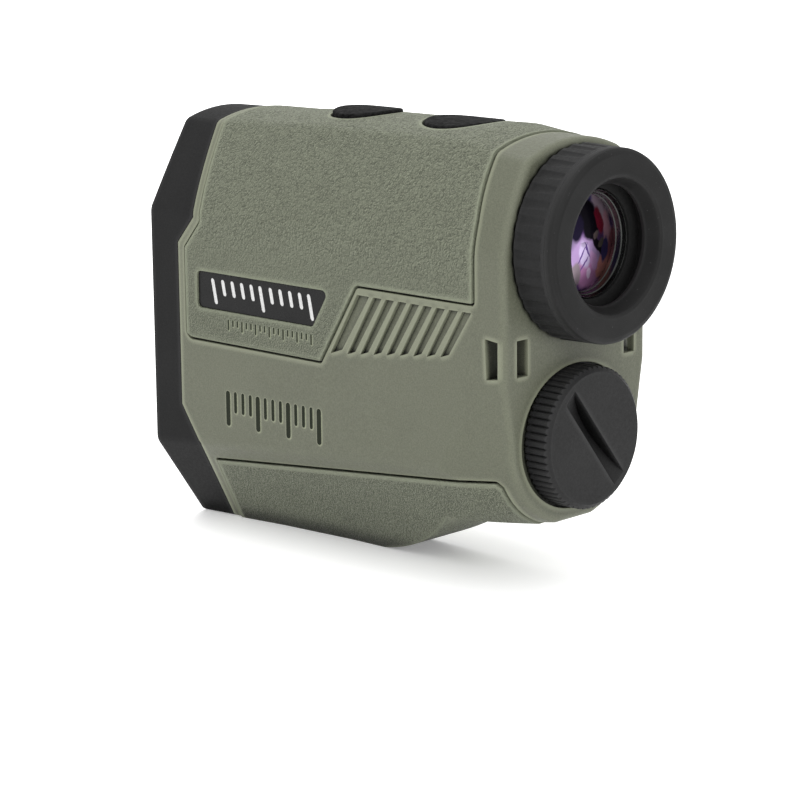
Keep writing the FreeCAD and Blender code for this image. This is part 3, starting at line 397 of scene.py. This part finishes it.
def flocked_black():
    """Flat black of the parts inside."""
    surface = Surface("flat_black", Specular_IOR_Level=0.2)
    grain = surface.noise(0.3, 2.0)
    tone = surface.greys(grain, 0.006, 0.014)
    return surface.finish(tone, surface.greys(grain, 0.7, 0.85), surface.bump(grain, 0.02))


def tinted_glass(name, dark, tint, warm):
    """Lens against its dark tube: a coating that shifts in colour over the dome."""
    surface = Surface(name, Metallic=0.6, Coat_Weight=1.0, Coat_Roughness=0.02)
    drift = surface.noise(9.0, 1.0, 0.4, surface.warped(9.0, 6.0))
    edge_on = surface.add("LayerWeight", {"Blend": 0.45}).outputs["Facing"]
    mottle = surface.math("MULTIPLY", drift, 0.5)
    tone = surface.ramp(surface.math("ADD", mottle, edge_on), (0.25, dark), (0.6, tint), (1.0, warm))
    return surface.finish(tone, surface.greys(drift, 0.05, 0.12))


def coated_glass():
    return tinted_glass("coated_glass", (0.012, 0.03, 0.026), (0.10, 0.34, 0.26), (0.34, 0.10, 0.26))


def emitter_glass():
    return tinted_glass("filter_glass", (0.02, 0.002, 0.003), (0.16, 0.012, 0.02), (0.3, 0.05, 0.09))


# Painted reflections on the eye lens, as soft patches of colour: place across and above its centre, reach
# along and across a lean, lean in degrees, colour. The later ones lie over the earlier ones.
PAINTED_LENS_REFLECTIONS = (
    (-3.4, -1.0, 2.4, 5.0, 0, (0.20, 0.15, 0.26)),
    (3.4, 7.4, 2.6, 1.6, -30, (0.20, 0.15, 0.24)),
    (5.4, 5.2, 1.9, 4.4, -32, (0.36, 0.27, 0.34)),
    (6.8, 1.6, 1.6, 3.6, -8, (0.46, 0.24, 0.31)),
    (7.6, -3.0, 0.9, 5.4, 14, (0.30, 0.10, 0.13)),
    (0.6, -2.6, 5.0, 4.2, 0, (0.40, 0.27, 0.50)),
    (2.2, -6.2, 5.0, 2.8, 10, (0.46, 0.21, 0.42)),
    (5.6, -5.0, 2.0, 2.6, 30, (0.54, 0.22, 0.20)),
    (0.1, -2.2, 1.6, 2.8, -20, (0.58, 0.48, 0.72)),
    (2.8, -3.6, 1.0, 2.2, -28, (0.50, 0.28, 0.52)),
    (1.6, -5.8, 0.7, 1.4, -10, (0.66, 0.50, 0.70)),
    (0.6, 8.0, 2.6, 1.6, 0, (0.06, 0.045, 0.15)),
    (1.0, 4.6, 3.0, 3.4, 0, (0.002, 0.001, 0.004)),
    (2.0, 2.2, 2.4, 2.4, -40, (0.002, 0.001, 0.004)),
    (-1.8, 2.6, 1.8, 2.8, 20, (0.008, 0.005, 0.02)),
    (4.4, 3.4, 1.2, 2.8, -14, (0.17, 0.008, 0.025)),
    (4.2, -1.0, 0.9, 3.6, -42, (0.006, 0.003, 0.008)),
    (6.2, -2.0, 1.1, 2.6, 8, (0.05, 0.035, 0.14)),
    (3.4, 0.9, 0.7, 0.9, 45, (0.12, 0.09, 0.09)),
    (4.9, -0.6, 0.9, 1.1, 45, (0.12, 0.10, 0.09)),
    (-0.7, -2.4, 0.2, 3.0, 35, (0.12, 0.06, 0.24)),
    (0.9, -1.4, 0.2, 2.0, -30, (0.12, 0.06, 0.24)),
    (0.3, -3.9, 0.2, 2.0, 35, (0.16, 0.08, 0.28)),
    (-2.2, -6.2, 1.7, 3.2, 12, (0.24, 0.19, 0.22)),
)


def eye_glass():
    """Eye lens with painted violet and rose reflections of its coating, over painted dark of the barrel."""
    surface = Surface("eye_glass", Metallic=1.0, Coat_Weight=0.03, Coat_Roughness=0.02)
    low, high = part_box("eye_lens")
    centre = tuple((low + high) / 2)
    wavy = surface.warped(2.2, 1.3)
    from_centre = surface.add("VectorMath", {0: wavy, 1: centre}, operation="SUBTRACT").outputs[0]
    tone = surface.ramp(surface.noise(4.0), (0.3, (0.06, 0.03, 0.10)), (0.7, (0.12, 0.06, 0.18)))
    # each patch paints a reflection onto the lens
    for across, above, reach, width, lean, color in PAINTED_LENS_REFLECTIONS:
        spot = surface.add("Mapping", {"Vector": from_centre, "Location": (across * MM, 0, above * MM),
                                       "Rotation": (0, math.radians(lean), 0),
                                       "Scale": (reach * MM, 1.0, width * MM)}, vector_type="TEXTURE")
        flat = surface.add("VectorMath", {0: spot.outputs[0], 1: (1, 0, 1)}, operation="MULTIPLY").outputs[0]
        far = surface.add("VectorMath", {0: flat}, operation="LENGTH").outputs["Value"]
        tone = surface.mix(surface.ramp(far, (0.75, WHITE), (1.1, BLACK)), tone, color)
    return surface.finish(tone, surface.greys(surface.noise(5.0), 0.3, 0.4))


def prism_glass():
    surface = Surface("prism_glass", Metallic=0.3, Coat_Weight=1.0, Coat_Roughness=0.03)
    sheen = surface.noise(5.0, 1.0)
    tone = surface.ramp(sheen, (0.3, (0.3, 0.42, 0.4)), (0.7, (0.55, 0.62, 0.6)))
    return surface.finish(tone, surface.greys(sheen, 0.05, 0.1))


def solder_resist():
    """Green circuit board with paler traces."""
    surface = Surface("solder_resist")
    traces = surface.cells(1.1, feature="DISTANCE_TO_EDGE")
    tone = surface.ramp(traces, (0.06, (0.05, 0.2, 0.08)), (0.1, (0.012, 0.09, 0.035)))
    gloss = surface.greys(surface.noise(2.0), 0.3, 0.42)
    return surface.finish(tone, gloss, surface.bump(traces, 0.02))


def amber_film():
    surface = Surface("amber_film")
    tone = surface.ramp(surface.noise(1.5), (0.3, (0.36, 0.15, 0.02)), (0.7, (0.5, 0.24, 0.04)))
    return surface.finish(tone, surface.greys(surface.noise(1.0), 0.2, 0.3))


def seal_rubber():
    surface = Surface("seal_rubber")
    tone = surface.greys(surface.noise(0.8), 0.02, 0.035)
    return surface.finish(tone, surface.greys(surface.noise(0.6), 0.45, 0.6))


def metal(name, color, roughness):
    """Turned or plated metal with a fine brushed variation."""
    surface = Surface(name, Metallic=1.0)
    lay = surface.noise(0.35, 3.0)
    tone = surface.ramp(lay, (0.3, scaled_color(color, 0.85)), (0.7, scaled_color(color, 1.1)))
    gloss = surface.greys(lay, roughness - 0.07, roughness + 0.07)
    return surface.finish(tone, gloss, surface.rounded(0.1))


def cell_jacket():
    """Dark printed jacket of the battery, with a bright end."""
    surface = Surface("cell_jacket", Metallic=0.6)
    along = surface.add("SeparateXYZ", {"Vector": surface.place()}).outputs["Y"]
    band = surface.math("GREATER_THAN", along, CELL_BAND_Y * MM)
    tone = surface.mix(band, (0.5, 0.5, 0.52), (0.03, 0.04, 0.09))
    return surface.finish(tone, surface.greys(surface.noise(1.2), 0.25, 0.38))


def print_white():
    surface = Surface("print_white")
    ink = surface.noise(0.4, 2.0)
    tone = surface.ramp(ink, (0.3, (0.46, 0.46, 0.455)), (0.7, (0.58, 0.58, 0.575)))
    return surface.finish(tone, surface.greys(ink, 0.42, 0.55))


def engraved_paint(name, color):
    """Flat paint at the bottom of an engraving, or a painted highlight along its rim."""
    surface = Surface(name, Specular_IOR_Level=0.1)
    ink = surface.noise(0.35, 2.0)
    tone = surface.ramp(ink, (0.3, scaled_color(color, 0.8)), (0.7, scaled_color(color, 1.2)))
    return surface.finish(tone, surface.greys(ink, 0.55, 0.7))


def studio_floor():
    """Matt white paper that glows a little."""
    surface = Surface("floor_paper", Specular_IOR_Level=0.1, Emission_Color=(1, 1, 1, 1),
                      Emission_Strength=FLOOR_GLOW)
    tone = surface.greys(surface.noise(400.0), 0.9, 0.92)
    return surface.finish(tone, surface.greys(surface.noise(300.0), 0.85, 0.95))


FINISHES = {
    "housing": housing_plastic,
    "grip_skin": grip_skin,
    "bezel": bezel_plastic,
    "badge": badge_gloss,
    "eyepiece_rubber": cup_rubber,
    "ring_plastic": ring_plastic,
    "cap_plastic": cap_plastic,
    "key_rubber": key_rubber,
    "inner_plastic": flocked_black,
    "lens_barrel": anodised,
    "glass": coated_glass,
    "prism_glass": prism_glass,
    "circuit_board": solder_resist,
    "chip": chip_epoxy,
    "polyimide": amber_film,
    "seal_rubber": seal_rubber,
    "brass": lambda: metal("brass", (0.72, 0.5, 0.2), 0.3),
    "nickel": lambda: metal("nickel", (0.62, 0.61, 0.58), 0.28),
    "steel_screw": lambda: metal("zinc_steel", (0.5, 0.5, 0.5), 0.35),
    "diode_can": lambda: metal("diode_can", (0.6, 0.58, 0.5), 0.25),
    "cell_jacket": cell_jacket,
}
OWN_FINISHES = {"eye_lens": eye_glass, "emitter_lens": emitter_glass}


def dress_cad_nodes():
    """Give every CAD node its own finish, or else the finish of its material slot."""
    made = {slot: make() for slot, make in FINISHES.items()}
    for row in frame["record"]["subparts"]:
        node = row["node"]
        material = OWN_FINISHES[node]() if node in OWN_FINISHES else made[row["material_slot"]]
        mesh = frame["nodes"][node].data
        mesh.materials.clear()
        mesh.materials.append(material)
        mesh.polygons.foreach_set("material_index", [0] * len(mesh.polygons))


# ---- printed and engraved marks -----------------------------------------------------------------
def stroke_outline(top_z, length, half):
    """Outline of an upright stroke with round ends: y offsets from its middle, and heights."""
    outline = []
    for end, centre_z in ((1, top_z - half), (-1, top_z - length + half)):
        for step in range(STROKE_END_SEGMENTS + 1):
            turn = math.pi * step / STROKE_END_SEGMENTS
            outline.append((half * math.cos(turn) * end, centre_z + half * math.sin(turn) * end))
    return outline


def stroke(mesh, side, face, top_z, length, width, slant=0.0, proud=MARK_PROUD):
    """A straight stroke with round ends, on a side face at x and y; its top leans by slant."""
    x, y = face
    half = width / 2
    outline = stroke_outline(top_z, length, half)
    rings = []
    for depth, inset in ((-MARK_SUNK, 0.0), (proud * 0.5, 0.0), (proud, MARK_BEVEL)):
        ring = []
        shrink = 1 - inset / half
        for dy, z in outline:
            lean = (z - top_z + length / 2) * slant
            centre_z = min(max(z, top_z - length + half), top_z - half)
            place = Vector((side * (x + depth), y + dy * shrink + lean, centre_z + (z - centre_z) * shrink))
            ring.append(mesh.verts.new(place * MM))
        rings.append(ring)
    count = len(outline)
    for low, high in zip(rings, rings[1:]):
        for index in range(count):
            following = (index + 1) % count
            mesh.faces.new((low[index], low[following], high[following], high[index]))
    mesh.faces.new(rings[-1])
    mesh.faces.new(list(reversed(rings[0])))


def mesh_piece(name, build, material, body="housing"):
    """Object from a bmesh builder, with a finish, riding on a body."""
    mesh = bmesh.new()
    build(mesh)
    bmesh.ops.recalc_face_normals(mesh, faces=mesh.faces)
    data = bpy.data.meshes.new(name)
    mesh.to_mesh(data)
    mesh.free()
    data.materials.append(material)
    piece = bpy.data.objects.new(name, data)
    bpy.context.scene.collection.objects.link(piece)
    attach(piece, body)
    return piece


def surface_x(node, y, z):
    """Outer x of a node on its right side, by casting a ray inward."""
    start = Vector((CAST_FROM_X, y, z)) * MM
    hit, place, _, _ = frame["nodes"][node].ray_cast(start, Vector((-1, 0, 0)))
    if not hit:
        raise ValueError("no surface beside the mark")
    return place.x / MM


def badge_scale(side):
    """Slanted strokes, every fifth one longer, in place of a name."""
    _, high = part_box("badge_plate_right")
    top_z = high.z / MM - BADGE_TOP_MARGIN
    front_y = high.y / MM - BADGE_FRONT_MARGIN
    face_x = high.x / MM

    def build(mesh):
        for index in range(BADGE_STROKES):
            length = BADGE_STROKE_SHORT if index % BADGE_LONG_EVERY else BADGE_STROKE_LONG
            face = (face_x, front_y - index * BADGE_STROKE_PITCH)
            stroke(mesh, side, face, top_z, length, BADGE_STROKE_WIDTH, BADGE_STROKE_SLANT)

    return build


def engraved_scale(side, shift=0.0, proud=MARK_PROUD, widen=0.0):
    """Plain scale of long and short strokes under the badge panel."""
    pitch = (SCALE_FRONT_Y - SCALE_REAR_Y) / SCALE_STEPS

    def build(mesh):
        for index in range(SCALE_STEPS + 1):
            length, width = SCALE_SHORT if index % SCALE_LONG_EVERY else SCALE_LONG
            y = SCALE_FRONT_Y - index * pitch
            face_x = surface_x("main_housing", y, SCALE_TOP_Z - SCALE_FACE_DROP)
            stroke(mesh, side, (face_x, y - shift), SCALE_TOP_Z - shift, length, width + widen, proud=proud)

    return build


def fine_row(side, shift=0.0, proud=MARK_PROUD):
    """Fine row of small strokes inside the badge panel."""
    pitch = (FINE_FRONT_Y - FINE_REAR_Y) / FINE_STEPS

    def build(mesh):
        for index in range(FINE_STEPS + 1):
            length = FINE_SHORT if index % FINE_LONG_EVERY else FINE_LONG
            y = FINE_FRONT_Y - index * pitch
            face_x = surface_x("upper_grip_skin", y, FINE_TOP_Z - FINE_FACE_DROP)
            stroke(mesh, side, (face_x, y - shift), FINE_TOP_Z - shift, length, FINE_WIDTH, proud=proud)

    return build


def marks():
    """Printed and engraved marks on both sides, each engraving with a painted highlight along its rim."""
    white = print_white()
    dark = engraved_paint("engraved_dark", (0.014, 0.017, 0.010))
    faint = engraved_paint("engraved_faint", (0.022, 0.026, 0.016))
    # paler olive copy: painted highlight along the rim of each engraving
    rim_highlight = engraved_paint("engraved_rim_highlight", scaled_color(OLIVE, 2.0))
    for side, label in ((1, "right"), (-1, "left")):
        fine_rim_highlight = fine_row(side, HIGHLIGHT_RIM_SHIFT, MARK_PROUD / 2)
        scale_rim_highlight = engraved_scale(side, HIGHLIGHT_RIM_SHIFT, MARK_PROUD / 2, HIGHLIGHT_RIM_WIDER)
        mesh_piece("badge_scale_" + label, badge_scale(side), white)
        mesh_piece("fine_row_" + label, fine_row(side), faint)
        mesh_piece("fine_row_rim_highlight_" + label, fine_rim_highlight, rim_highlight)
        mesh_piece("side_scale_" + label, engraved_scale(side), dark)
        mesh_piece("side_scale_rim_highlight_" + label, scale_rim_highlight, rim_highlight)


# ---- studio -------------------------------------------------------------------------------------
def add_floor():
    mesh = bmesh.new()
    bmesh.ops.create_circle(mesh, cap_ends=True, segments=FLOOR_SEGMENTS, radius=FLOOR_RADIUS * MM)
    data = bpy.data.meshes.new("floor")
    mesh.to_mesh(data)
    mesh.free()
    data.materials.append(studio_floor())
    floor = bpy.data.objects.new("floor", data)
    bpy.context.scene.collection.objects.link(floor)


def add_area_light(name, place_mm, size_mm, power, aim_mm=BODY_MIDDLE):
    data = bpy.data.lights.new(name, "AREA")
    data.shape = "RECTANGLE"
    data.size, data.size_y = (length * MM for length in size_mm)
    data.energy = power
    light = bpy.data.objects.new(name, data)
    bpy.context.scene.collection.objects.link(light)
    light.location = Vector(place_mm) * MM
    aim = Vector(aim_mm) * MM - light.location
    light.rotation_mode = "QUATERNION"
    light.rotation_quaternion = aim.to_track_quat("-Z", "Y")
    return light


def add_world():
    world = bpy.data.worlds.new("studio")
    bpy.context.scene.world = world
    world.use_nodes = True
    background = world.node_tree.nodes["Background"]
    background.inputs["Color"].default_value = (1, 1, 1, 1)
    background.inputs["Strength"].default_value = WORLD_STRENGTH


def add_lights():
    """Softboxes round the object, and a broad light that keeps the floor behind it white."""
    for name, place, size, power in SOFTBOXES:
        add_area_light(name, place, size, power)
    over = (BACKDROP_LIGHT_X, BACKDROP_LIGHT_Y, BACKDROP_LIGHT_Z)
    under = (BACKDROP_LIGHT_X, BACKDROP_LIGHT_Y, 0)
    size = (BACKDROP_LIGHT_SIZE, BACKDROP_LIGHT_SIZE)
    backdrop = add_area_light("backdrop_light", over, size, BACKDROP_LIGHT_POWER, under)
    backdrop.visible_glossy = False


def add_camera():
    """Camera behind the object on its left, a little above it, with a slight roll."""
    azimuth, elevation, roll = (math.radians(a) for a in (CAMERA_AZIMUTH, CAMERA_ELEVATION, CAMERA_ROLL))
    back = Vector((math.sin(azimuth) * math.cos(elevation), -math.cos(azimuth) * math.cos(elevation),
                   math.sin(elevation)))
    right = Vector((math.cos(azimuth), math.sin(azimuth), 0))
    up = back.cross(right)
    rolled_right = right * math.cos(roll) + up * math.sin(roll)
    rolled_up = up * math.cos(roll) - right * math.sin(roll)
    aim = Vector((0, 0, CAMERA_HEIGHT_AIM)) + right * CAMERA_SIDE_AIM
    data = bpy.data.cameras.new("camera")
    data.lens = LENS
    data.sensor_width = SENSOR_WIDTH
    data.clip_start = CLIP_NEAR * MM
    data.clip_end = CLIP_FAR * MM
    camera = bpy.data.objects.new("camera", data)
    bpy.context.scene.collection.objects.link(camera)
    turned = Matrix((rolled_right, rolled_up, back)).transposed().to_4x4()
    camera.matrix_world = Matrix.Translation((aim + back * CAMERA_DISTANCE) * MM) @ turned
    bpy.context.scene.camera = camera


dress_cad_nodes()
marks()
add_floor()
add_world()
add_lights()
add_camera()
bpy.context.scene.view_settings.view_transform = "Standard"
